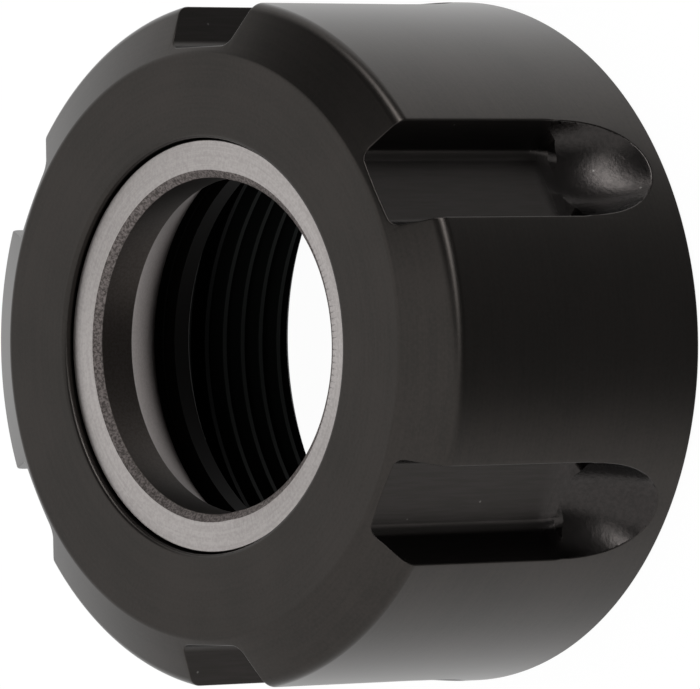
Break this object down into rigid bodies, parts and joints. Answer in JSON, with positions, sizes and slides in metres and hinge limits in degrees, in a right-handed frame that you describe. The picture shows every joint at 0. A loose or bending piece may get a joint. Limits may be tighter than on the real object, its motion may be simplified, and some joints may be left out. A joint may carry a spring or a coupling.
{
  "type": "collet nut",
  "caption": "Round clamping nut for a spring collet, slotted outside, threaded inside, with a thrust ring that turns on balls in its nose.",
  "frame": {"origin": "centre of the back face, where the thread starts", "axes": "+Z along the nut's axis, from the threaded back face to the nose; +X through the middle of a spanner slot; +Y through the plugged ball-loading hole and, at rest, through the thick side of the extraction lip"},
  "size_m": [0.042, 0.042, 0.022],
  "materials": {
    "black_oxide_steel": "satin black oxide",
    "ground_steel": "fine ground",
    "bearing_steel": "polished"
  },
  "bodies": {
    "nut": {"nut_body": "black_oxide_steel", "filler_plug": "black_oxide_steel"},
    "ring": {"thrust_ring": "ground_steel"},
    "ball_set": {"ball_01": "bearing_steel", "ball_02": "bearing_steel", "ball_03": "bearing_steel", "ball_04": "bearing_steel", "ball_05": "bearing_steel", "ball_06": "bearing_steel", "ball_07": "bearing_steel", "ball_08": "bearing_steel", "ball_09": "bearing_steel", "ball_10": "bearing_steel", "ball_11": "bearing_steel", "ball_12": "bearing_steel", "ball_13": "bearing_steel", "ball_14": "bearing_steel", "ball_15": "bearing_steel", "ball_16": "bearing_steel", "ball_17": "bearing_steel", "ball_18": "bearing_steel", "ball_19": "bearing_steel", "ball_20": "bearing_steel", "ball_21": "bearing_steel", "ball_22": "bearing_steel", "ball_23": "bearing_steel", "ball_24": "bearing_steel", "ball_25": "bearing_steel", "ball_26": "bearing_steel", "ball_27": "bearing_steel", "ball_28": "bearing_steel", "ball_29": "bearing_steel", "ball_30": "bearing_steel"}
  },
  "joints": [
    {"name": "ring_spin", "type": "hinge", "parent": "nut", "child": "ring", "pos_m": [0, 0, 0.017], "axis": [0, 0, 1], "continuous": true},
    {"name": "ball_orbit", "type": "hinge", "parent": "nut", "child": "ball_set", "pos_m": [0, 0, 0.017], "axis": [0, 0, 1], "continuous": true}
  ],
  "couplings": [
    {"joint": "ball_orbit", "follows": "ring_spin", "ratio": 0.4646}
  ]
}
